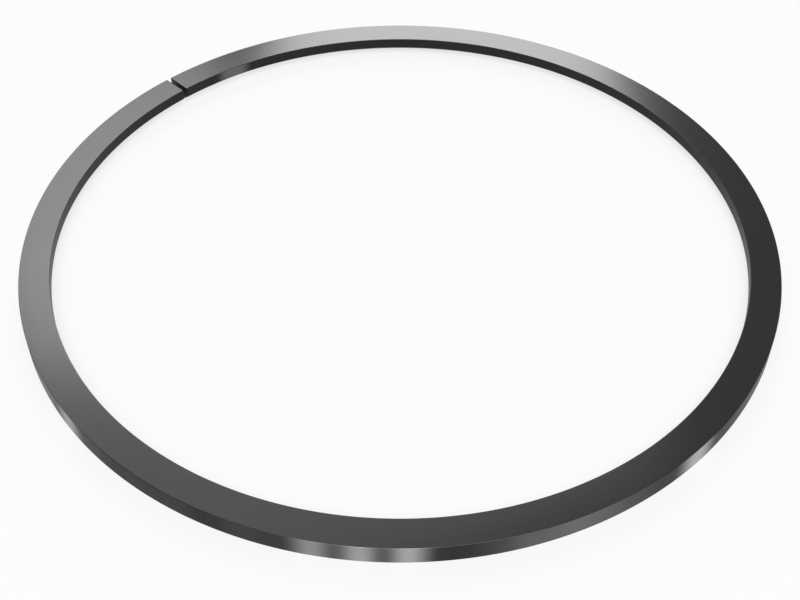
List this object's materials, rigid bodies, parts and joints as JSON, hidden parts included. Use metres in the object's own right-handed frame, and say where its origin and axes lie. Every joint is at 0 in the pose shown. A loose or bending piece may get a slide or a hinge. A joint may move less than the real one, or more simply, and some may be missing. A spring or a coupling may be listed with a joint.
{
  "type": "piston ring",
  "caption": "Split compression ring in dark steel with two flat sides, a wide bevel on its lower inner edge and a straight-cut end gap.",
  "frame": {"origin": "on the ring's axis, in the plane of its flat lower side, on which the ring lies", "axes": "+Z along the ring's axis, out of the upper side, which has no bevel; +Y towards the end gap; +X to the right of the gap seen from the lower end of the axis, so the ring is mirror-symmetric across X = 0"},
  "size_m": [0.095, 0.095, 0.0025],
  "materials": {
    "ring_steel": "satin"
  },
  "bodies": {
    "root": {"piston_ring": "ring_steel"}
  },
  "joints": []
}
